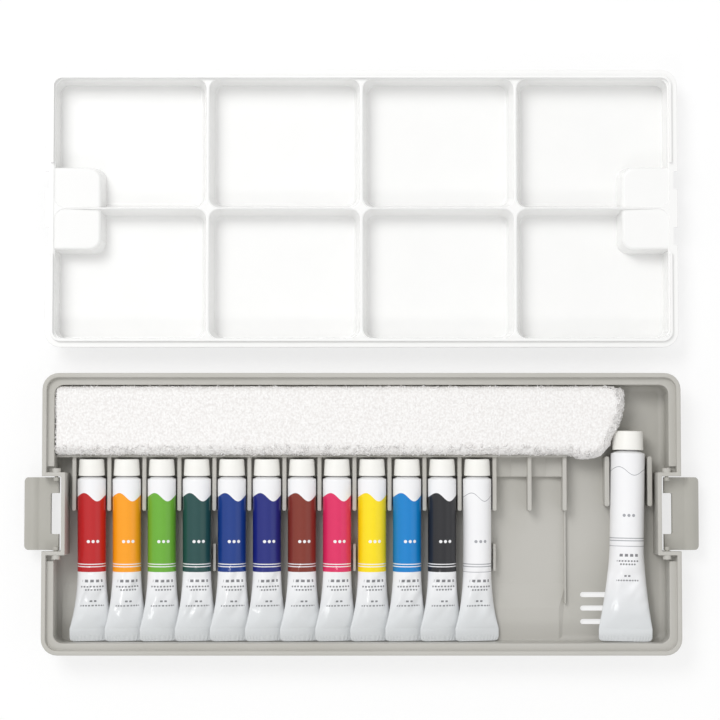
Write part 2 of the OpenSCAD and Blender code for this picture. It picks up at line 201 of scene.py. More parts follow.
latch_plastic_shaded = Finish("latch_plastic_shaded", linear(178, 176, 168), 0.38)
haze = latch_plastic_shaded.grain(25.0, 3.0).rise(0.3, 0.7)
latch_plastic_shaded.put(Base_Color=latch_plastic_shaded.mix(haze, linear(175, 173, 165), linear(181, 179, 172)))
latch_plastic_shaded.put(Roughness=0.32 + 0.14 * latch_plastic_shaded.grain(GRAINS))
latch_plastic_shaded.bump(latch_plastic_shaded.grain(GRAINS), 0.02)

lid_plastic = Finish("lid_plastic", linear(247, 247, 246), 0.2)
wave = lid_plastic.grain(50.0)
lid_plastic.put(Base_Color=lid_plastic.mix(wave, linear(246, 246, 245), linear(249, 249, 248)))
lid_plastic.put(Roughness=0.18 + 0.1 * lid_plastic.grain(400.0))
lid_plastic.bump(wave, 0.08)

cap_plastic = Finish("cap_plastic", linear(247, 246, 241), 0.34)
speck = cap_plastic.grain(GRAINS)
mottle = cap_plastic.grain(120.0)
cap_plastic.put(Base_Color=cap_plastic.mix(mottle, linear(245, 244, 238), linear(249, 248, 244)))
cap_plastic.put(Roughness=0.28 + 0.14 * speck)
cap_plastic.bump(speck, 0.02)
print("plastics", tray_plastic.material.name, lid_plastic.material.name, cap_plastic.material.name)

# %% [markdown]
# Most mouldings here are a rounded rectangle whose wall steps in and up or down. A rounded slab gives the
# belt at the widest place, and each inset of its top or bottom face then adds one step of the section.
# This keeps every wall the same distance from the next, which an artist would call an even offset.


# %% Rounded slabs and their steps
def slab(half_x, half_y, radius, low, high, centre=(0.0, 0.0), segments=6):
    """A slab with round corners, with its bottom and its top face."""
    shape = bmesh.new()
    bmesh.ops.create_grid(shape, x_segments=1, y_segments=1, size=1.0)
    bmesh.ops.scale(shape, vec=(half_x, half_y, 1.0), verts=shape.verts)
    bmesh.ops.bevel(shape, geom=shape.verts[:], offset=radius, offset_type="OFFSET", segments=segments,
                    profile=0.5, affect="VERTICES", material=-1)
    bmesh.ops.translate(shape, vec=(*centre, low), verts=shape.verts)
    bottom = shape.faces[:][0]
    return raise_face(shape, bottom, high - low)


def disc(radius, low, high, segments=48):
    """A round slab, with its bottom and its top face."""
    shape = bmesh.new()
    bmesh.ops.create_circle(shape, cap_ends=True, segments=segments, radius=radius)
    bmesh.ops.translate(shape, vec=(0.0, 0.0, low), verts=shape.verts)
    return raise_face(shape, shape.faces[:][0], high - low)


def raise_face(shape, bottom, height):
    raised = bmesh.ops.extrude_face_region(shape, geom=[bottom], use_keep_orig=True)
    top = [part for part in raised["geom"] if isinstance(part, bmesh.types.BMFace)][0]
    bmesh.ops.translate(shape, vec=(0.0, 0.0, height), verts=top.verts[:])
    bmesh.ops.recalc_face_normals(shape, faces=shape.faces)
    return shape, bottom, top


def step(shape, face, steps):
    """Takes a face in, and out along its normal, step by step."""
    for inward, along in steps:
        bmesh.ops.inset_region(shape, faces=[face], use_boundary=True, use_even_offset=True,
                               thickness=inward, depth=along)


def quarter(radius, count=4, inward_first=False):
    """Steps round a quarter circle. It starts along the normal, or inward."""
    turns = [math.pi / 2 * n / count for n in range(count + 1)]
    steps = []
    for first, second in zip(turns, turns[1:]):
        slow = radius * (math.cos(first) - math.cos(second))
        fast = radius * (math.sin(second) - math.sin(first))
        steps.append((fast, slow) if inward_first else (slow, fast))
    return steps


def back(steps):
    """The same steps, against the normal."""
    return [(inward, -along) for inward, along in steps]


def cut_level(shape, spot, normal):
    """Cuts a ring of new corners round a shape and keeps both halves."""
    geometry = shape.verts[:] + shape.edges[:] + shape.faces[:]
    bmesh.ops.bisect_plane(shape, geom=geometry, plane_co=spot, plane_no=normal)


def half_and_centre(low, high):
    """Half the size and the middle of a box between two corners."""
    return [(b - a) / 2 for a, b in zip(low, high)], [(a + b) / 2 for a, b in zip(low, high)]


print("a quarter circle takes", len(quarter(1.0)), "steps")


# %% Making pieces and joining them
def as_object(shape, name):
    """A bmesh drawn in millimetres becomes an object in metres."""
    bmesh.ops.scale(shape, vec=(MM, MM, MM), verts=shape.verts)
    mesh = bpy.data.meshes.new(name)
    shape.to_mesh(mesh)
    shape.free()
    thing = bpy.data.objects.new(name, mesh)
    bpy.context.scene.collection.objects.link(thing)
    return thing


def join(shape, other):
    """Adds one bmesh to another."""
    mesh = bpy.data.meshes.new("join")
    other.to_mesh(mesh)
    other.free()
    shape.from_mesh(mesh)
    bpy.data.meshes.remove(mesh)


def combine(thing, tool, operation="DIFFERENCE"):
    """Cuts a tool out of a thing, or joins it on, and throws the tool away."""
    change = thing.modifiers.new("change", "BOOLEAN")
    change.operation = operation
    change.solver = "EXACT"
    change.object = tool
    graph = bpy.context.evaluated_depsgraph_get()
    mesh = bpy.data.meshes.new_from_object(thing.evaluated_get(graph))
    thing.modifiers.clear()
    thing.data = mesh
    bpy.data.objects.remove(tool, do_unlink=True)


def smooth(thing, degrees=35.0):
    """Smooth shading that stops at sharp edges and keeps flat faces flat."""
    thing.data.shade_smooth()
    thing.data.set_sharp_from_angle(angle=math.radians(degrees))
    even = thing.modifiers.new("even", "WEIGHTED_NORMAL")
    even.keep_sharp = True


def dress(thing, finish, body, slot, *nodes):
    """Gives a piece its finish, its body and the CAD nodes that it stands for."""
    thing.data.materials.clear()
    thing.data.materials.append(finish.material)
    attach(thing, body)
    if nodes:
        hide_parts(*nodes)
    print(thing.name, len(thing.data.polygons), "faces on", body)


def block(low, high, radius=0.3, top_round=0.0, name="block"):
    """A block between two corners, with round upright edges and a round top edge."""
    half, centre = half_and_centre(low, high)
    shape, bottom, top = slab(half[0], half[1], radius, low[2], high[2] - top_round, centre[:2], 4)
    if top_round:
        step(shape, top, quarter(top_round, 3))
    return as_object(shape, name)


def rod(radius, low_y, high_y, x, z, segments=32):
    """A round bar along Y."""
    shape, bottom, top = disc(radius, low_y, high_y, segments)
    bmesh.ops.rotate(shape, matrix=Matrix.Rotation(math.radians(-90), 3, "X"), verts=shape.verts)
    bmesh.ops.translate(shape, vec=(x, 0.0, z), verts=shape.verts)
    return as_object(shape, "rod")


SIDES = (-1, 1)


def spread(side, near, far):
    """Two distances on one side of the middle, lowest first."""
    return sorted((side * near, side * far))


# %% [markdown]
# The tray's wall steps out to a band at the rim. The band carries a raised lip outside and a ledge inside
# it, where the lid sits. The hollow is cut with a tool whose edge flares at the ledge and whose floor
# edge is round, as a moulder would leave it. The latch pockets are blocks, joined on and then hollowed.

# %% The tray
HALF_LONG = 176.5
HALF_WIDE = 77.8
RIM_CORNER = 9.0
RIM = 24.0
LEDGE = 21.0
FLOOR = 2.0
INNER_X = 170.0
INNER_Y = 71.3
POCKET_X = 165.7
POCKET_HALF = 20.7
POCKET_OUT = 22.9
PIVOT_X = 168.7
PIVOT_Z = 21.4


def tray_blank():
    shape, bottom, top = slab(HALF_LONG, HALF_WIDE, RIM_CORNER, 17.6, RIM - 0.8)
    step(shape, top, quarter(0.8))
    step(shape, top, [(1.2, 0.0)])
    step(shape, top, back(quarter(0.5, inward_first=True)))
    step(shape, top, [(0.05, -2.2)])
    step(shape, top, back(quarter(0.3, 2)))
    step(shape, bottom, quarter(0.6, 3) + [(3.7, 0.0), (0.1, 15.7)] + quarter(1.3))
    return as_object(shape, "tray_moulding")


def tray_hollow():
    shape, bottom, top = slab(INNER_X + 0.5, INNER_Y + 0.5, 5.5, LEDGE, RIM + 3.0)
    step(shape, bottom, quarter(0.5, inward_first=True) + [(0.1, LEDGE - FLOOR - 4.0)] + quarter(3.5, 6))
    return as_object(shape, "hollow")


def pocket_tool(side):
    """The opening of a latch pocket, wider by a small flare at its top edge."""
    near, far = spread(side, POCKET_X, HALF_LONG + 6.0)
    middle = (near + far) / 2
    flare = 0.4
    half = (far - near) / 2
    shape, bottom, top = slab(half + flare, POCKET_HALF + flare, 1.0, RIM, RIM + 2.0, (middle, 0.0), 4)
    step(shape, bottom, quarter(flare, 3, inward_first=True) + [(0.0, RIM + 2.0)])
    return as_object(shape, "pocket")


tray = tray_blank()
combine(tray, tray_hollow())
for side in SIDES:
    for way in SIDES:
        near, far = spread(side, INNER_X - 0.1, 173.9)
        low, high = spread(way, POCKET_OUT, POCKET_OUT + 3.3)
        combine(tray, block((near, low, LEDGE - 2.5), (far, high, LEDGE + 0.5)))
    near, far = spread(side, POCKET_X - 2.2, 172.1)
    combine(tray, block((near, -POCKET_OUT, 0.5), (far, POCKET_OUT, RIM), 0.8, 0.5), "UNION")
    near, far = spread(side, POCKET_X - 2.2, HALF_LONG - 0.03)
    combine(tray, block((near, -POCKET_OUT, 17.1), (far, POCKET_OUT, RIM - 0.02), 0.8, 0.5), "UNION")
    for way in SIDES:
        low, high = spread(way, POCKET_OUT - 0.5, POCKET_OUT + 2.2)
        combine(tray, rod(2.4, low, high, side * PIVOT_X, PIVOT_Z), "UNION")
    combine(tray, pocket_tool(side))
    combine(tray, rod(1.08, -POCKET_OUT - 1.8, POCKET_OUT + 1.8, side * PIVOT_X, PIVOT_Z))
for count in range(3):
    middle = -INNER_Y + 10.8 + 7.5 * count
    combine(tray, block((122.4, middle - 1.45, -1.0), (160.4, middle + 1.45, 4.0), 1.44))
smooth(tray)
dress(tray, tray_plastic, "tray", "tray_plastic", "tray_shell")

# %% [markdown]
# The rack stands on the tray's floor: thin ribs between the tubes, a wall behind their caps, a shallow V
# under each cap, and a few posts. All of them are little slabs with a round top edge, and a section that
# is drawn out along Y or X makes the rests and the ramp under the tails.

# %% The rack
BAY = 19.5
RACK_LEFT = -159.9
RACK_RIGHT = 114.3
BAYS = 14
COMB_Y = 31.25
RIB_T = 2.4
REST_LONG = 10.9
STALL_X = 148.6
RAMP_FRONT = -38.8
RAMP_BACK = -52.7
RAMP_SLOPE = 4.0


def rib(shape, low, high, radius=0.4, top_round=0.5):
    """Adds one upright rib, wall or post."""
    half, centre = half_and_centre(low, high)
    part, bottom, top = slab(half[0], half[1], radius, low[2], high[2] - top_round, centre[:2], 4)
    step(part, top, [(r * 0.98, rise) for r, rise in quarter(top_round, 3)])
    join(shape, part)


def drawn_out(corners, along):
    """A flat outline of 3-D corners, drawn out along a vector."""
    part = bmesh.new()
    face = part.faces.new([part.verts.new(corner) for corner in corners])
    moved = bmesh.ops.extrude_face_region(part, geom=[face], use_keep_orig=True)
    verts = [item for item in moved["geom"] if isinstance(item, bmesh.types.BMVert)]
    bmesh.ops.translate(part, vec=along, verts=verts)
    bmesh.ops.recalc_face_normals(part, faces=part.faces)
    return part


def cap_rest(shape, middle):
    """Adds the shallow V under a cap, with its front edge rounded."""
    half = (BAY - RIB_T) / 2 + 0.2
    front = COMB_Y - REST_LONG
    section = [(-half, 1.9), (half, 1.9), (half, 7.0), (0.0, 5.0), (-half, 7.0)]
    part = drawn_out([(middle + x, front, z) for x, z in section], (0.0, REST_LONG + 0.3, 0.0))
    edges = [e for e in part.edges if all(v.co.y < front + 0.1 and v.co.z > 3 for v in e.verts)]
    bmesh.ops.bevel(part, geom=edges, offset=0.5, offset_type="OFFSET", segments=3, profile=0.5,
                    affect="EDGES", material=-1)
    join(shape, part)


rack = bmesh.new()
rib(rack, (-INNER_X - 0.3, COMB_Y, 1.9), (RACK_RIGHT, COMB_Y + 1.6, 15.0))
for count in range(BAYS + 1):
    middle = RACK_LEFT + BAY * count
    rib(rack, (middle - 1.2, COMB_Y - 29.8, 1.9), (middle + 1.2, COMB_Y + 0.8, 13.0), 1.0, 0.6)
for count in range(BAYS):
    cap_rest(rack, RACK_LEFT + BAY * (count + 0.5))
for count in (4, 8, 12):
    middle = RACK_LEFT + BAY * count
    rib(rack, (middle - 0.85, -32.1, 1.9), (middle + 0.85, -16.7, 9.0), 0.8)
for side in SIDES:
    middle = STALL_X + side * 11.9
    rib(rack, (middle - 1.4, 3.9, 1.9), (middle + 1.4, 31.9, 13.0), 1.35, 0.6)
rib(rack, (RACK_RIGHT - 0.9, -50.5, 1.9), (RACK_RIGHT, 3.0, 5.0), 0.4, 0.3)
tail_ramp = [(-INNER_Y + 0.5, 1.0), (RAMP_FRONT, 1.99), (RAMP_BACK, 3.2), (-INNER_Y + 0.5, 3.2)]
ramp = drawn_out([(-INNER_X + 2.6, y, z) for y, z in tail_ramp], (RACK_RIGHT + INNER_X - 2.6, 0.0, 0.0))
for corner in ramp.verts:
    if corner.co.x > RACK_RIGHT - 0.1 and corner.co.z > FLOOR + 1.0:
        corner.co.x -= RAMP_SLOPE
join(rack, ramp)
rack_piece = as_object(rack, "rack_moulding")
smooth(rack_piece, 20.0)
for edge in rack_piece.data.edges:
    ends = [rack_piece.data.vertices[n].co / MM for n in edge.vertices]
    if all(end.z < 3.3 and min(abs(end.y - RAMP_FRONT), abs(end.y - RAMP_BACK)) < 0.1 for end in ends):
        edge.use_edge_sharp = True
dress(rack_piece, tray_plastic, "tray", "tray_plastic", "tube_rack")

# %% [markdown]
# A latch is a plate with a round-cornered finger edge, a U-shaped opening for the lid's tongue, and two ears
# that turn on short pins. It is drawn flat on the table first, then stood up at its pivot as when closed,
# and at last let down by a hundred degrees, which is how it hangs in the picture. From a crease on, its
# finger part swells in a low wave, so that a fingertip finds it.

# %% The latches
LATCH_HALF = 20.15
PLATE_OUT = 7.8
PLATE_IN = 5.8
LATCH_HIGH = 20.6
HOOK_HIGH = 5.0
CREASE = 11.2
LET_DOWN = math.radians(100)


def latch_plate():
    """The plate lies in X and Y: X along the box's end, Y up from the pivot, Z outward."""
    shape, bottom, top = slab(LATCH_HALF, 12.2, 2.5, PLATE_IN + 0.4, PLATE_OUT - 0.4, (0.0, 8.3))
    step(shape, top, quarter(0.4, 3))
    step(shape, bottom, quarter(0.4, 3))
    for count in range(10):
        cut_level(shape, (0.0, CREASE + count, 0.0), (0.0, 1.0, 0.0))
    for corner in shape.verts:
        share = max(0.0, corner.co.y - CREASE) / (LATCH_HIGH - CREASE)
        corner.co.z -= 1.5 * math.sin(share * 1.12 * math.pi)
    plate = as_object(shape, "plate")
    combine(plate, block((-30.0, -10.0, 0.0), (30.0, 0.4, 12.0)))
    combine(plate, block((-11.35, -5.0, 0.0), (11.35, HOOK_HIGH, 12.0), 0.8))
    return plate


def latch_ear(way):
    """An ear with its pin, drawn with X along the box's end too."""
    near, far = spread(way, LATCH_HALF - 2.0, LATCH_HALF)
    outline = [(2.3, 7.3), (0.5, 7.4), (-1.2, 1.6), (-1.5, 0.6), (-1.5, -0.6), (-0.9, -1.2), (0.0, -1.5),
               (0.9, -1.2), (1.5, -0.2), (2.3, 6.2)]
    ear = drawn_out([(near, up, out) for up, out in outline], (far - near, 0.0, 0.0))
    bmesh.ops.bevel(ear, geom=ear.edges[:], offset=0.25, offset_type="OFFSET", segments=2, profile=0.5,
                    affect="EDGES", material=-1)
    pin, bottom, top = disc(1.0, LATCH_HALF - 0.5, LATCH_HALF + 4.0, 24)
    step(pin, top, quarter(0.25, 2))
    bmesh.ops.rotate(pin, matrix=Matrix.Rotation(math.radians(way * 90), 3, "Y"), verts=pin.verts)
    ear_piece = as_object(ear, "ear")
    combine(ear_piece, as_object(pin, "pin"), "UNION")
    return ear_piece


for side, name in zip(SIDES, ("left", "right")):
    latch = latch_plate()
    for way in SIDES:
        combine(latch, latch_ear(way), "UNION")
    upright = Matrix(((0, 0, side, 0), (1, 0, 0, 0), (0, 1, 0, 0), (0, 0, 0, 1)))
    down = Matrix.Rotation(side * LET_DOWN, 4, "Y")
    latch.data.transform(Matrix.Translation(Vector((side * PIVOT_X, 0.0, PIVOT_Z)) * MM) @ down @ upright)
    if side < 0:
        latch.data.flip_normals()
    latch.name = f"latch_{name}_arm"
    smooth(latch)
    dress(latch, latch_plastic_shaded, f"latch_{name}_arm", "tray_plastic", f"latch_{name}")

# %% [markdown]
# The lid lies on its back. Its eight wells are cut with tools whose walls lean most where they make a divider
# and less at the outer wall, with round corners and a round floor edge, so that a brush can reach
# every drop of paint. A raised lip runs round the rim and stops beside the notches for the latches.

# %% The lid
LID_Y = 170.1
LID_FACE = 18.0
WELL_X = 171.8
WELL_Y = 73.1
CREST = 17.5
WELL_FLOOR = 1.8
CREST_ROUND = 0.6
LEAN = 2.6
WALL_LEAN = 1.7
FLOOR_ROUND = 1.6
LIP_END = 25.5


def lid_blank():
    shape, bottom, top = slab(HALF_LONG, HALF_WIDE, RIM_CORNER, 16.3, LID_FACE - 0.4, (0.0, LID_Y), 8)
    step(shape, top, quarter(0.4, 3))
    step(shape, bottom, quarter(0.3, 2) + [(2.2, 0.0), (0.1, 14.5)] + quarter(1.5))
    return as_object(shape, "palette_moulding")


def raised_lip():
    shape, bottom, top = slab(HALF_LONG - 3.2, HALF_WIDE - 3.2, 5.8, 17.2, 19.4, (0.0, LID_Y), 8)
    step(shape, top, quarter(0.6, 3))
    lip = as_object(shape, "lip")
    for side in SIDES:
        near, far = spread(side, 165.0, 180.0)
        combine(lip, block((near, LID_Y - LIP_END, LID_FACE - 0.1), (far, LID_Y + LIP_END, 22.0), 1.0))
    return lip


def lid_hollow():
    shape, bottom, top = slab(WELL_X, WELL_Y, 4.4, CREST, 22.0, (0.0, LID_Y), 8)
    return as_object(shape, "hollow")


def set_side(level, axis, side, wall, leans):
    """Moves one side of a ring of corners: onto the outer wall, or out by the lean of a divider."""
    now = max(v.co[axis] * side for v in level)
    drop = min(1.0, max(0.0, (CREST - level[0].co.z) / (CREST - WELL_FLOOR)))
    return now - LEAN * drop if leans else min(now, wall - WALL_LEAN * drop)


def well_tool(column, row):
    """One well. Columns run from 0 to 3, and row is -1 in front or 1 behind."""
    half_x = WELL_X / 4 - 0.8 + CREST_ROUND
    half_y = WELL_Y / 2 - 0.4 + CREST_ROUND
    middle = WELL_X * (column - 1.5) / 2
    shape, bottom, top = slab(half_x, half_y, 6.0, CREST, CREST + 3.0, segments=8)
    step(shape, bottom, quarter(CREST_ROUND, 3, inward_first=True))
    step(shape, bottom, [(0.0, 3.0), (0.0, 3.0), (0.0, CREST - WELL_FLOOR - CREST_ROUND - FLOOR_ROUND - 6.0)])
    step(shape, bottom, quarter(FLOOR_ROUND, 5))
    levels = {}
    for corner in shape.verts:
        corner.co.x += middle
        corner.co.y += row * WELL_Y / 2
        levels.setdefault(round(corner.co.z, 3), []).append(corner)
    walls = [(0, -1, WELL_X, column > 0), (0, 1, WELL_X, column < 3), (1, -row, WELL_Y, True),
             (1, row, WELL_Y, False)]
    for level in levels.values():
        for axis in (0, 1):
            pair = sorted((side, wall, leans) for a, side, wall, leans in walls if a == axis)
            old = [side * max(v.co[axis] * side for v in level) for side, wall, leans in pair]
            new = [side * set_side(level, axis, side, wall, leans) for side, wall, leans in pair]
            for corner in level:
                share = (corner.co[axis] - old[0]) / (old[1] - old[0])
                corner.co[axis] = new[0] + share * (new[1] - new[0])
    bmesh.ops.translate(shape, vec=(0.0, LID_Y, 0.0), verts=shape.verts)
    return as_object(shape, "well")


def recess_block(side):
    """The block over a finger recess. Its top leans down towards the wells."""
    near, far = spread(side, HALF_LONG - 30.7, WELL_X + 8.0)
    middle = (near + far) / 2
    shape, bottom, top = slab((far - near) / 2 + 2.0, POCKET_OUT + 1.6, 6.5, 0.6, 15.95, (middle, LID_Y), 8)
    step(shape, top, quarter(1.6, 5))
    for corner in shape.verts:
        rise = corner.co.z / 17.55
        corner.co.y = LID_Y + (corner.co.y - LID_Y) * (1 - 0.065 * rise)
        corner.co.x = side * (abs(corner.co.x) + 2.0 * rise * (abs(corner.co.x) < WELL_X - 10))
        if corner.co.z > 10:
            corner.co.z -= 2.4 * min(1.0, max(0.0, (WELL_X - 10 - abs(corner.co.x)) / 18)) ** 1.3
    recess = as_object(shape, "recess")
    combine(recess, block((-WELL_X - 1.0, LID_Y - 40, -1.0), (WELL_X + 1.0, LID_Y + 40, 20.0)), "INTERSECT")
    return recess


def recess_tool(side):
    near, far = spread(side, HALF_LONG - 28.0, HALF_LONG + 8.0)
    shape, bottom, top = slab((far - near) / 2, POCKET_HALF, 4.0, -2.0, 11.0, ((near + far) / 2, LID_Y))
    step(shape, top, quarter(1.5))
    for corner in shape.verts:
        if corner.co.z > 5:
            corner.co.z += 2.2 * min(1.0, max(0.0, (abs(corner.co.x) - 152.0) / 14))
    return as_object(shape, "recess")


lid = lid_blank()
combine(lid, raised_lip(), "UNION")
combine(lid, lid_hollow())
for column in range(4):
    for row in SIDES:
        combine(lid, well_tool(column, row))
for side in SIDES:
    combine(lid, recess_block(side), "UNION")
    combine(lid, recess_tool(side))
    for way in SIDES:
        near, far = spread(side, HALF_LONG - 2.5, HALF_LONG + 4.0)
        low, high = spread(way, 10.6, POCKET_HALF)
        combine(lid, block((near, LID_Y + low, 12.8), (far, LID_Y + high, 24.0), 0.6))
smooth(lid)
dress(lid, lid_plastic, "lid", "lid_plastic", "palette_lid")

# %% [markdown]
# A cap is one turned form: a lightly tapered wall, a round top edge, and underneath a rim, a recess and the
# bore that takes the neck. Steps on the two faces of a round slab make all of it.

# %% The caps
PITCH = math.radians(3.1506)
ROLL = math.radians(12)
TAIL_Y = -70.8
TAIL_Z = 7.743
CAP_TAPER = 0.5
CAP_RIM = 1.4
COLOURS = ["red", "orange", "light_green", "dark_green", "ultramarine", "violet", "brown", "magenta",
           "yellow", "cyan", "black", "white"]


def lay_small(index):
    """The place of a small tube, drawn along Z from its crimp, as it lies in its bay."""
    middle = RACK_LEFT + BAY * (index + 0.5)
    turned = Matrix.Rotation(PITCH - math.pi / 2, 4, "X") @ Matrix.Rotation(ROLL, 4, "Z")
    return Matrix.Translation((middle, TAIL_Y, TAIL_Z)) @ turned


def lay_large():
    yaw = math.radians(1)
    middle = INNER_X - 21.4 - 0.7 + 28.0 * math.sin(yaw)
    turned = Matrix.Rotation(-yaw, 4, "Z") @ Matrix.Rotation(-math.pi / 2, 4, "X")
    return Matrix.Translation((middle - 104.4 * math.sin(yaw), TAIL_Y, 11.8)) @ turned


def lay_down(shape, name, place, degrees=45.0):
    """Lays a form that was drawn upright at its place, as a smooth object."""
    bmesh.ops.transform(shape, matrix=place, verts=shape.verts)
    thing = as_object(shape, name)
    smooth(thing, degrees)
    return thing


def make_cap(name, radius, high, neck, base, place):
    shape, bottom, top = disc(radius, base + 0.3, base + high - 0.9)
    step(shape, top, quarter(0.9, 5) + [(1.6, 0.0)] + back(quarter(0.25, 2)))
    step(shape, bottom, quarter(0.3, 2) + [(1.3, 0.0), (0.02, -1.8), (radius - 1.92 - neck, 0.0)])
    step(shape, bottom, [(0.02, -(high - 1.4 - 1.8))])
    for corner in shape.verts:
        rise = (corner.co.z - base) / high
        out = math.hypot(corner.co.x, corner.co.y)
        if out > radius - CAP_RIM:
            corner.co.xy *= 1 - CAP_TAPER * rise / radius
    return lay_down(shape, name, place, 40.0)


for index, colour in enumerate(COLOURS):
    cap = make_cap(f"{colour}_screw_cap", 7.3, 9.2, 4.5, 92.1, lay_small(index))
    dress(cap, cap_plastic, f"{colour}_cap", "cap_plastic", f"cap_{colour}")
cap = make_cap("large_screw_cap", 8.7, 10.6, 5.3, 106.1, lay_large())
dress(cap, cap_plastic, "large_cap", "cap_plastic", "cap_large_white")

# %% [markdown]
# A paint tube starts as a round can and is flattened towards its folded crimp, so the girth stays the same
# while the width grows. Before the flattening each corner notes where it stood on the can. The printed label
# reads that note, so the print bends and narrows with the metal.

# %% The tubes
NOTE = "unrolled"
CRIMP_LONG = 7.0
# Radius, length, and length of the part that stays round
SMALL_TUBE = (7.9, 90.4, 45.7)
LARGE_TUBE = (9.5, 104.4, 52.2)
LARGE_SEED = 31.0
SEED_STEP = 1.7
PASTE_ROOM = 0.6


def tube_levels(long, run):
    """Heights at which the can is cut into rings."""
    flat = [0.35, 0.8, 1.4, 2.2, 3.4, 4.8, 6.0, 6.7, 7.0, 7.5, 8.2]
    squeezed = [8.2 + (run + 3.0 - 8.2) * n / 30 for n in range(1, 31)]
    return flat + squeezed + [long - 12.0, long - 4.0]


def crimp_shape(height, flat, thin):
    """Half width and half thickness of the folded end."""
    corner = 2.2
    cut = corner - math.sqrt(max(0.0, corner ** 2 - (corner - min(height, corner)) ** 2))
    return flat - cut, thin - 0.05 * min(1.0, height / CRIMP_LONG)


def flatten(corner, radius, run, seed):
    """Moves a corner of the round can onto the squeezed tube."""
    height = corner.z
    if height >= run:
        return
    flat = math.pi * radius / 2
    across = corner.x / radius
    through = corner.y / radius
    share = min(1.0, (run - height) / (run - CRIMP_LONG))
    wide = radius + (flat - radius) * share ** (2.4 if radius < 8.5 else 1.5)
    thick = 0.65 + (radius - 0.65) * (1 - share ** 1.35)
    power = 0.16 + 0.84 * min(1.0, max(0.0, (height - 4.0) / 9.0))
    if height <= CRIMP_LONG:
        wide, thick = crimp_shape(height, flat, 0.7)
    corner.x = wide * math.copysign(abs(across) ** (1 - 0.25 * share), across)
    corner.y = thick * math.copysign(abs(through) ** power, through)
    if height > CRIMP_LONG:
        dent = noise.noise(Vector((corner.x * 0.09 + seed, height * 0.07, seed * 3.1)))
        crease = noise.noise(Vector((corner.x * 0.25 - height * 0.1 + seed, height * 0.12, seed)))
        sink = min(share * 3, 1.0) * min(1.0, (height - CRIMP_LONG) / 4)
        corner.y *= 1 - sink * (0.5 * max(0.0, dent) + 0.3 * max(0.0, crease))


def make_tube(name, radius, long, round_long, neck, nozzle, neck_long, place, seed):
    shape, bottom, top = disc(radius, 0.0, long - 0.6)
    for height in tube_levels(long, long - round_long):
        cut_level(shape, (0.0, 0.0, height), (0.0, 0.0, 1.0))
    slope = radius * 0.33
    shoulder = [(slope, 1.5), (radius - 0.62 - slope - neck, 0.05), (0.02, neck_long - 1.55)]
    step(shape, top, quarter(0.6, 3) + shoulder)
    step(shape, top, quarter(0.3, 2) + [(neck - 0.3 - nozzle, 0.0), (0.05, -neck_long + 0.5)])
    note = shape.verts.layers.float_vector.new(NOTE)
    for corner in shape.verts:
        out = max(math.hypot(corner.co.x, corner.co.y), 0.01)
        corner[note] = (corner.co.x / out, -corner.co.y / out, corner.co.z)
        flatten(corner.co, radius, long - round_long, seed)
    return lay_down(shape, name, place)


# %% [markdown]
# The label is a plain print of no maker: a wide band in the colour of the paint with a wavy upper edge,
# three pale dots and a pair of fine rules below, and short grey dashes where small print would stand.


# %% Finish of the tubes
def spot_mask(across, height, middle_across, middle_height, radius):
    """A round spot in the print."""
    out = ((across - middle_across) ** 2.0 + (height - middle_height) ** 2.0) ** 0.5
    return 1 - out.rise(radius - 0.12, radius + 0.12)


def print_line(finish, across, height, middle, half_high, half_wide, dash):
    """A row of short dashes, as small print looks from afar."""
    row = height.near(middle, half_high, 0.12) * abs(across).near(0.0, half_wide, 0.2)
    return row * (across * dash + middle).sine().rise(-0.55, -0.2)


def label_finish(name, pigment, radius, shoulder, outlined):
    finish = Finish(name, linear(246, 246, 247), 0.3, Coat_Weight=0.5, Coat_Roughness=0.1,
                    Specular_IOR_Level=0.3)
    spot = finish.node("ShaderNodeAttribute", {"attribute_name": NOTE}, {}, "Vector")
    parts = [finish.node("ShaderNodeSeparateXYZ", {}, {"Vector": spot}, part) for part in "XYZ"]
    across, facing, height = parts[0] * radius, parts[1], parts[2]
    crown = height + 2.4 * (parts[0] * 3.4 + 0.6).sine() - 1.2 * parts[1]
    top = shoulder - 11.0
    foot = shoulder - 51.5
    band = height.rise(foot - 0.12, foot + 0.12) * (1 - crown.rise(top - 0.12, top + 0.12))
    dots = spot_mask(across, height, -2.6, foot + 17.0, 0.85)
    for middle in (0.0, 2.6):
        dots = dots.most(spot_mask(across, height, middle, foot + 17.0, 0.85))
    dots = dots * facing.rise(0.2, 0.3)
    rules = height.near(foot + 3.0, 0.25, 0.1).most(height.near(foot + 4.4, 0.25, 0.1))
    lines = [(foot - 5.0, 0.75, 5.2, 2.3), (foot - 8.2, 0.45, 5.8, 4.1), (foot - 10.0, 0.45, 4.2, 4.6),
             (foot - 16.5, 0.5, 1.6, 4.0), (foot - 19.0, 0.4, 5.0, 5.1)]
    prints = None
    for middle, half_high, half_wide, dash in lines:
        line = print_line(finish, across, height, middle, half_high, half_wide, dash)
        prints = line if prints is None else prints.most(line)
    prints = prints * facing.rise(0.2, 0.3)
    white = finish.mix(finish.grain(60.0), linear(244, 244, 246), linear(248, 248, 249))
    # Towards the crimp the white turns grey: painted shade and dull reflection on the flattened tail.
    white = finish.mix(height.rise(6.0, 44.0), linear(224, 227, 229), white)
    tint = finish.mix(finish.grain(300.0), pigment, [min(1.0, part * 1.06) for part in pigment])
    open_band = band * (1 - dots.most(rules))
    if outlined:
        edge = height.near(foot, 0.16, 0.08).most(crown.near(top, 0.16, 0.08))
        open_band = edge.most(dots.most(rules) * 0.9)
    colour = finish.mix(open_band, white, tint)
    colour = finish.mix(prints * 0.8, colour, linear(70, 72, 78))
    finish.put(Base_Color=colour, Roughness=0.26 + 0.1 * finish.grain(90.0) + 0.08 * open_band)
    ridges = (across * 5.2).sine() * (1 - height.rise(2.6, 3.4)) * 0.5
    finish.bump(finish.grain(220.0, 3.0) * 0.35 + ridges, 0.14)
    return finish


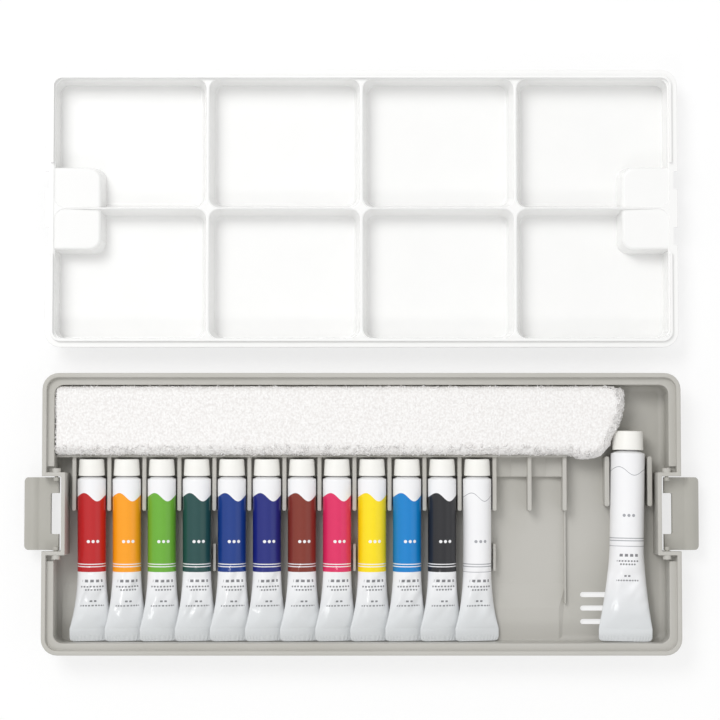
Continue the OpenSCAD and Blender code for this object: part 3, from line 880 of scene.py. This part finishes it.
PIGMENTS = {"red": (188, 26, 30), "orange": (249, 160, 22), "light_green": (106, 172, 52),
            "dark_green": (30, 74, 72), "ultramarine": (16, 56, 134), "violet": (26, 36, 122),
            "brown": (128, 48, 34), "magenta": (222, 42, 98), "yellow": (250, 222, 8), "cyan": (0, 128, 202),
            "black": (38, 38, 42), "white": (150, 152, 158)}

for index, colour in enumerate(COLOURS):
    place = lay_small(index)
    tube = make_tube(f"{colour}_paint_tube", *SMALL_TUBE, 4.2, 2.2, 9.2, place, index * SEED_STEP)
    pigment = linear(*PIGMENTS[colour])
    finish = label_finish(f"label_{colour}", pigment, *SMALL_TUBE[:2], colour == "white")
    dress(tube, finish, f"{colour}_tube", "tube_foil", f"tube_{colour}")
tube = make_tube("large_paint_tube", *LARGE_TUBE, 5.0, 2.7, 10.6, lay_large(), LARGE_SEED)
finish = label_finish("label_large", linear(*PIGMENTS["white"]), *LARGE_TUBE[:2], True)
dress(tube, finish, "large_tube", "tube_foil", "tube_large_white")

# %% [markdown]
# Inside each tube lies its paint, which shows only when the tube is cut open. It is a thick wet paste, so it
# gets a soft gloss and a faint grain of pigment. It is squeezed by the same rule as its tube.


# %% The paint
def paste(name, pigment):
    finish = Finish(name, pigment, 0.35, Coat_Weight=0.4, Coat_Roughness=0.2)
    grains = finish.grain(900.0, 3.0)
    finish.put(Base_Color=finish.mix(grains, pigment, [part * 0.88 for part in pigment[:3]] + [1.0]))
    finish.bump(grains, 0.05)
    return finish


def make_paste(name, radius, long, round_long, place, seed):
    """The paint follows the inside of its tube and ends before the fold."""
    run = long - round_long
    shape, bottom, top = disc(radius - PASTE_ROOM, CRIMP_LONG + 3.0, long - 1.2, 32)
    for height in tube_levels(long, run):
        cut_level(shape, (0.0, 0.0, height), (0.0, 0.0, 1.0))
    for corner in shape.verts:
        flatten(corner.co, radius, run, seed)
    bmesh.ops.recalc_face_normals(shape, faces=shape.faces)
    return lay_down(shape, name, place)


WHITE_PAINT = linear(244, 244, 242)
for index, colour in enumerate(COLOURS):
    shade = WHITE_PAINT if colour == "white" else linear(*PIGMENTS[colour])
    filling = make_paste(f"{colour}_paste", *SMALL_TUBE, lay_small(index), index * SEED_STEP)
    dress(filling, paste("paste_" + colour, shade), f"{colour}_tube", f"paint_{colour}", f"paint_{colour}")
filling = make_paste("large_paste", *LARGE_TUBE, lay_large(), LARGE_SEED)
dress(filling, paste("paste_large", WHITE_PAINT), "large_tube", "paint_white", "paint_large_white")

# %% [markdown]
# The towel is a small terry cloth, a little shorter than the box and folded into eight layers. A flat grid
# is folded by sending each row to its place on a zigzag path, and then gets its thickness. The top layer is
# drawn down over the front and over the right end, where the bundle bulges towards the large tube.

# %% The towel
CLOTH_LONG = 311.0
CLOTH_T = 1.9
LAYERS = 8
FOLD_R = 1.18
BACK_Y = 70.2
FRONT_Y = 33.7
TOWEL_LOW = 2.35
TOWEL_HIGH = TOWEL_LOW + CLOTH_T + 2 * FOLD_R * (LAYERS - 1)
LEFT_X = -168.9
FLAP_ROUND = 4.0
FLAP_LOW = 9.0
END_ROUND = 4.5
END_DROP = 5.0
STRAIGHT = 250.0
END_OUTLINE = [(34.0, 127.5), (35.8, 132.8), (40.2, 137.0), (45.5, 138.6), (48.5, 141.2), (56.0, 144.0),
               (62.7, 145.2), (67.0, 144.9), (70.2, 143.2)]


def fold_path():
    """Rows of the cloth: flat position, Y, Z, and how flat the top layer lies there, or None below it."""
    path = []
    flat = 0.0
    near = FRONT_Y + 1.5 * CLOTH_T + 0.3 + FOLD_R
    far = BACK_Y - CLOTH_T / 2 - FOLD_R
    for layer in range(LAYERS):
        height = TOWEL_LOW + CLOTH_T / 2 + 2 * FOLD_R * layer
        top = layer == LAYERS - 1
        start, end = (near, far) if layer % 2 == 0 else (far, near)
        if top:
            end = FRONT_Y + CLOTH_T / 2 + FLAP_ROUND
        count = 44 if top else 6
        for n in range(count + 1):
            y = start + (end - start) * n / count
            path.append((flat + abs(y - start), y, height, 1.0 if top else None))
        flat += abs(end - start)
        if not top:
            way = 1 if layer % 2 == 0 else -1
            for n in range(1, 6):
                turn = math.pi * n / 6
                y = end + way * FOLD_R * math.sin(turn)
                path.append((flat + FOLD_R * turn, y, height + FOLD_R * (1 - math.cos(turn)), None))
            flat += math.pi * FOLD_R
    for n in range(1, 9):
        turn = math.pi / 2 * n / 8
        y = end - FLAP_ROUND * math.sin(turn)
        path.append((flat + FLAP_ROUND * turn, y, height - FLAP_ROUND * (1 - math.cos(turn)), math.cos(turn)))
    flat += FLAP_ROUND * math.pi / 2
    drop = height - FLAP_ROUND - FLAP_LOW
    for n in range(1, 5):
        path.append((flat + drop * n / 4, end - FLAP_ROUND, height - FLAP_ROUND - drop * n / 4, 0.0))
    return path


def right_end(y):
    """Where the towel ends on the right, read from its outline."""
    spots = [(-1000.0, END_OUTLINE[0][1])] + END_OUTLINE + [(1000.0, END_OUTLINE[-1][1])]
    for (low, first), (high, second) in zip(spots, spots[1:]):
        if low <= y <= high:
            return first + (second - first) * (y - low) / (high - low)


def place_corner(length, y, z, level):
    """Where a corner of the cloth comes to lie. The top layer turns down at the right end."""
    start = LEFT_X + STRAIGHT
    if length <= STRAIGHT:
        return Vector((LEFT_X + length, y, z))
    share = (length - STRAIGHT) / (CLOTH_LONG - STRAIGHT)
    end = right_end(y) - CLOTH_T / 2
    if level is None:
        return Vector((start + share * (end - 2.6 - start), y, z))
    run = end - END_ROUND - start
    quarter_turn = END_ROUND * math.pi / 2
    past = share * (run + level * (quarter_turn + END_DROP) + (1 - level) * END_ROUND) - run
    if past <= 0:
        return Vector((start + run + past, y, z))
    turn = min(past / END_ROUND, math.pi / 2)
    reach = level * END_ROUND * math.sin(turn) + (1 - level) * min(past, END_ROUND)
    sink = END_ROUND * (1 - math.cos(turn)) + max(0.0, past - quarter_turn)
    return Vector((start + run + reach, y, z - level * sink))


def settle(spot):
    """Lets the bundle bulge at its right end, rounds its section and makes its surface uneven."""
    middle_y = (FRONT_Y + BACK_Y) / 2
    high = (spot.z - 11.9) / 9.6
    side = (spot.y - middle_y) / ((BACK_Y - FRONT_Y) / 2)
    spot.y = middle_y + (spot.y - middle_y) * (1 - 0.04 * abs(high) ** 4)
    bulge = min(1.0, max(0.0, (spot.x - 113.5) / 9.0))
    spot.y -= 2.2 * bulge ** 2 * (3 - 2 * bulge) * min(1.0, max(0.0, (1 - side) / 2))
    if high > 0.5:
        roll = noise.noise(Vector((spot.x * 0.04, spot.y * 0.06, 4.0)))
        lump = noise.noise(Vector((spot.x * 0.3, spot.y * 0.3, 9.0)))
        spot.z += 0.4 * roll + 0.16 * lump - 0.9 * max(0.0, (side - 0.7) / 0.3) ** 2
    spot.y += 0.4 * noise.noise(Vector((spot.x * 0.12, spot.z * 0.3, 2.0)))


cloth = bmesh.new()
path = fold_path()
COLUMNS = 300
bmesh.ops.create_grid(cloth, x_segments=COLUMNS, y_segments=len(path) - 1, size=0.5)
for corner in cloth.verts:
    flat, y, z, level = path[round((corner.co.y + 0.5) * (len(path) - 1))]
    corner.co = place_corner((corner.co.x + 0.5) * CLOTH_LONG, y, z, level)
bmesh.ops.recalc_face_normals(cloth, faces=cloth.faces)
bmesh.ops.solidify(cloth, geom=cloth.verts[:] + cloth.edges[:] + cloth.faces[:], thickness=CLOTH_T)
for corner in cloth.verts:
    settle(corner.co)
heights = [corner.co.z for corner in cloth.verts]
print("towel from", round(min(heights), 2), "to", round(max(heights), 2), "mm high")
bmesh.ops.recalc_face_normals(cloth, faces=cloth.faces)
towel = as_object(cloth, "folded_towel")
towel.data.shade_smooth()

# %% [markdown]
# Terry is all little loops of soft cotton thread. On the broad top the loops are mostly a pattern in the
# material, rows of them in both directions. Round the edges, where they stand out against the dark gap, and
# here and there on the top they are real loops of thread: one loop is spun once and then set down many times.

# %% The loops and their finish
terry = Finish("terry", linear(250, 248, 246), 0.95, Sheen_Weight=0.2, Sheen_Roughness=0.6)
rows = terry.grain(700.0, 2.0, (1.5, 0.8, 1.0))
tufts = terry.node("ShaderNodeTexVoronoi", {"feature": "SMOOTH_F1"}, {
    "Vector": terry.node("ShaderNodeTexCoord", {}, {}, "Object"), "Scale": 900.0}, "Distance")
pile = rows * 0.7 + (1 - tufts) * 0.6
# The colour follows the pile pattern, greyer in its low places: painted shade between the loops.
terry.put(Base_Color=terry.mix(pile.rise(0.45, 0.95), linear(236, 233, 231), linear(252, 251, 250)))
terry.bump(pile, 0.5)

EDGE_LOOPS = 3600
TOP_LOOPS = 1900
FRONT_END = 127.0
THREAD_R = 0.24
random.seed(7)
thread = bmesh.new()
bmesh.ops.create_circle(thread, segments=3, radius=THREAD_R)
bmesh.ops.translate(thread, vec=(1.0, 0.0, 0.0), verts=thread.verts)
bmesh.ops.spin(thread, geom=thread.verts[:] + thread.edges[:], cent=(0.0, 0.0, 0.0), axis=(0.0, 1.0, 0.0),
               angle=math.radians(-250), steps=5)
bmesh.ops.rotate(thread, matrix=Matrix.Rotation(math.radians(35), 3, "Y"), verts=thread.verts)
bmesh.ops.holes_fill(thread, edges=[edge for edge in thread.edges if edge.is_boundary])
bmesh.ops.recalc_face_normals(thread, faces=thread.faces)
thread_mesh = bpy.data.meshes.new("thread")
thread.to_mesh(thread_mesh)
thread.free()
print("one loop has", len(thread_mesh.polygons), "faces")


def set_loop(shape, spot, outward, size):
    """Sets down one loop of thread that stands out from the cloth."""
    lean = outward + Vector([random.uniform(-0.5, 0.5) for axis in range(3)])
    twist = Matrix.Rotation(random.uniform(0, math.tau), 4, "Z")
    turned = lean.to_track_quat("Z", "Y").to_matrix().to_4x4() @ twist
    place = Matrix.Translation(spot) @ turned @ Matrix.Scale(size, 4)
    thread_mesh.transform(place)
    shape.from_mesh(thread_mesh)
    thread_mesh.transform(place.inverted())


def silhouette_spot():
    """A random spot on the visible edges of the bundle, and the way that a loop stands there."""
    place = random.random()
    turn = random.uniform(0.2, math.pi / 2)
    outer = FLAP_ROUND + CLOTH_T / 2
    if place < 0.42:
        x = random.uniform(LEFT_X + 0.5, FRONT_END)
        y = FRONT_Y + outer * (1 - math.sin(turn))
        z = TOWEL_HIGH - outer * (1 - math.cos(turn))
        return Vector((x, y, z)), Vector((0, -math.sin(turn), math.cos(turn)))
    if place < 0.6:
        x = random.uniform(LEFT_X + 0.5, FRONT_END)
        return Vector((x, FRONT_Y, random.uniform(10.0, 16.0))), Vector((0, -1, 0.2))
    if place < 0.8:
        x = random.uniform(LEFT_X + 0.5, 138.0)
        y = BACK_Y - random.uniform(0.0, 1.6)
        return Vector((x, y, random.choice((18.0, 19.6)))), Vector((0, 0.7, 0.7))
    y = random.uniform(FRONT_Y + 1, BACK_Y - 1)
    if place < 0.86:
        return Vector((LEFT_X + 0.2, y, random.uniform(16.0, 20.0))), Vector((-1, 0, 0.5))
    outer = END_ROUND + CLOTH_T / 2
    x = right_end(y) - outer * (1 - math.sin(turn))
    z = TOWEL_HIGH - outer * (1 - math.cos(turn))
    return Vector((x, y, z)), Vector((math.sin(turn), -0.3, math.cos(turn)))


fringe = bmesh.new()
for count in range(EDGE_LOOPS):
    spot, outward = silhouette_spot()
    settle(spot)
    set_loop(fringe, spot, outward, random.uniform(0.5, 1.6))
for count in range(TOP_LOOPS):
    x = random.uniform(LEFT_X + 1, 136.0)
    y = random.uniform(FRONT_Y + 4, BACK_Y - 2)
    spot = Vector((x, y, TOWEL_HIGH - 0.15))
    settle(spot)
    set_loop(fringe, spot, Vector((0, 0, 1)), random.uniform(0.35, 0.6))
bpy.data.meshes.remove(thread_mesh)
loops = as_object(fringe, "towel_loops")
loops.data.shade_smooth()
dress(loops, terry, "towel_bundle", "terry")
dress(towel, terry, "towel_bundle", "terry", "towel")
flat_size = (CLOTH_LONG * MM, path[-1][0] * MM)
print("cloth", [round(side, 3) for side in flat_size], "m flat")

# %% [markdown]
# The set is lit like a catalogue page: one large soft lamp high at the back left, a weak one on the right, a
# small panel in front that draws highlights on the tubes' tails, and an even pale sky. The table is plain
# white, and it stays white for the camera but keeps part of the shadow.

# %% Table and light
table_top = bmesh.new()
bmesh.ops.create_grid(table_top, x_segments=1, y_segments=1, size=3000.0)
bmesh.ops.translate(table_top, vec=(0.0, 0.0, -0.05), verts=table_top.verts)
table = as_object(table_top, "table")
table_white = Finish("table_white", (0.98, 0.98, 0.98, 1.0), 0.9)
rays = [table_white.node("ShaderNodeLightPath", {}, {}, ray) for ray in
        ("Is Camera Ray", "Is Glossy Ray", "Is Transmission Ray")]
seen = rays[0].most(rays[1]).most(rays[2])
glow = table_white.node("ShaderNodeEmission", {}, {"Color": (1.0, 1.0, 1.0, 1.0), "Strength": 1.0})
plain = Wire(table_white, table_white.shader.outputs[0])
shown = table_white.node("ShaderNodeMixShader", {}, {0: seen * 0.7, 1: plain, 2: glow})
table_white.tree.links.new(shown.socket, table_white.tree.nodes["Material Output"].inputs["Surface"])
table.data.materials.append(table_white.material)

world = bpy.data.worlds.new("pale_room")
bpy.context.scene.world = world
world.use_nodes = True
sky = world.node_tree.nodes["Background"]
sky.inputs["Color"].default_value = (1.0, 1.0, 1.0, 1.0)
sky.inputs["Strength"].default_value = 0.67


def soft_lamp(name, spot, aim_at, size, watts):
    """A square lamp that hangs at a spot and faces another."""
    lamp = bpy.data.lights.new(name, "AREA")
    lamp.size = size
    lamp.energy = watts
    holder = bpy.data.objects.new(name, lamp)
    bpy.context.scene.collection.objects.link(holder)
    holder.location = spot
    holder.rotation_euler = (Vector(aim_at) - Vector(spot)).to_track_quat("-Z", "Y").to_euler()


soft_lamp("window_left", (-0.8, 1.0, 1.9), (0.0, 0.08, 0.0), 0.9, 18.5)
soft_lamp("bounce_right", (1.3, -0.6, 1.2), (0.0, 0.08, 0.0), 1.2, 1.5)
soft_lamp("front_panel", (-0.35, -1.0, 1.6), (0.0, 0.0, 0.0), 0.3, 2.6)
print("lamps and table stand")
